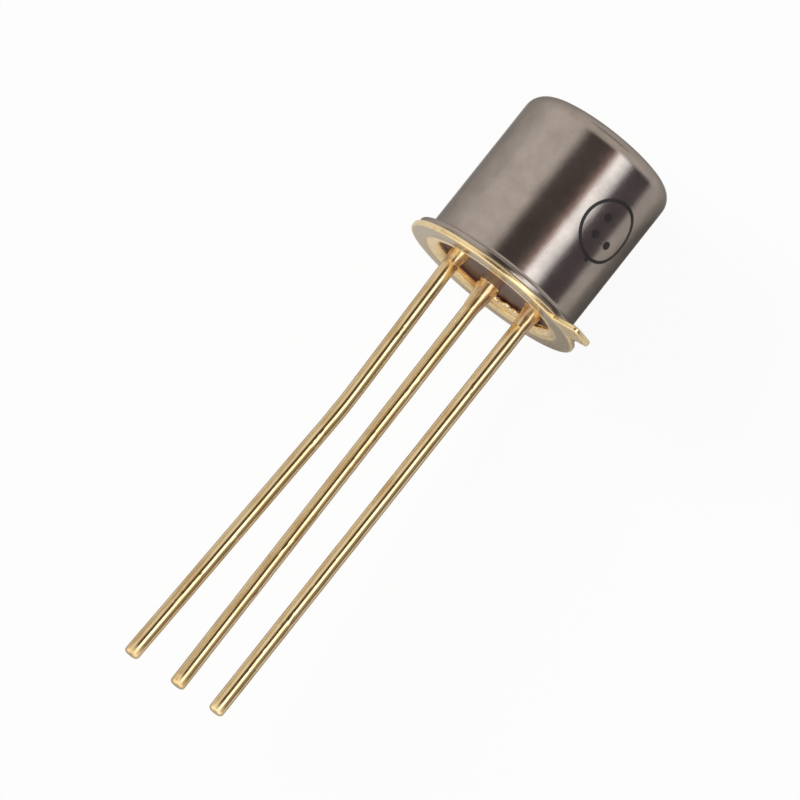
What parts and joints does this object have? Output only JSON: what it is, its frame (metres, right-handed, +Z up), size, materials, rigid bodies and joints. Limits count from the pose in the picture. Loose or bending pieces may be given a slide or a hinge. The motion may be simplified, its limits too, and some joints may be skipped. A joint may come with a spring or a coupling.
{
  "type": "bipolar transistor in a small metal can",
  "caption": "Three-lead bipolar transistor in a small round metal can with a flange, an index tab and gold-plated wire leads.",
  "frame": {"origin": "middle of the bottom of the box around the part, on the surface that it lies on", "axes": "+X runs level from the lead tips towards the cap, +Z is up; the part lies on its flange rim and the corner of its cap, as it comes to rest, with the base lead lowest and the collector lead towards +Y"},
  "size_m": [0.019, 0.0058, 0.0055],
  "materials": {
    "nickel_cap": "satin drawn nickel, fine grain",
    "gold_plate": "satin gold plating on an iron-nickel-cobalt alloy",
    "seal_glass": "dark sealing glass, glossy",
    "gold_lead": "gold plating on drawn wire, lightly scuffed",
    "gold_solder": "gold preform, dull",
    "silicon": "polished silicon with bare pads",
    "bond_gold": "fine gold wire"
  },
  "bodies": {
    "root": {"cap": "nickel_cap", "header": "gold_plate", "glass_seal": "seal_glass", "emitter_lead": "gold_lead", "base_lead": "gold_lead", "collector_lead": "gold_lead", "chip_preform": "gold_solder", "chip": "silicon", "emitter_bond_wire": "bond_gold", "base_bond_wire": "bond_gold"}
  },
  "joints": []
}
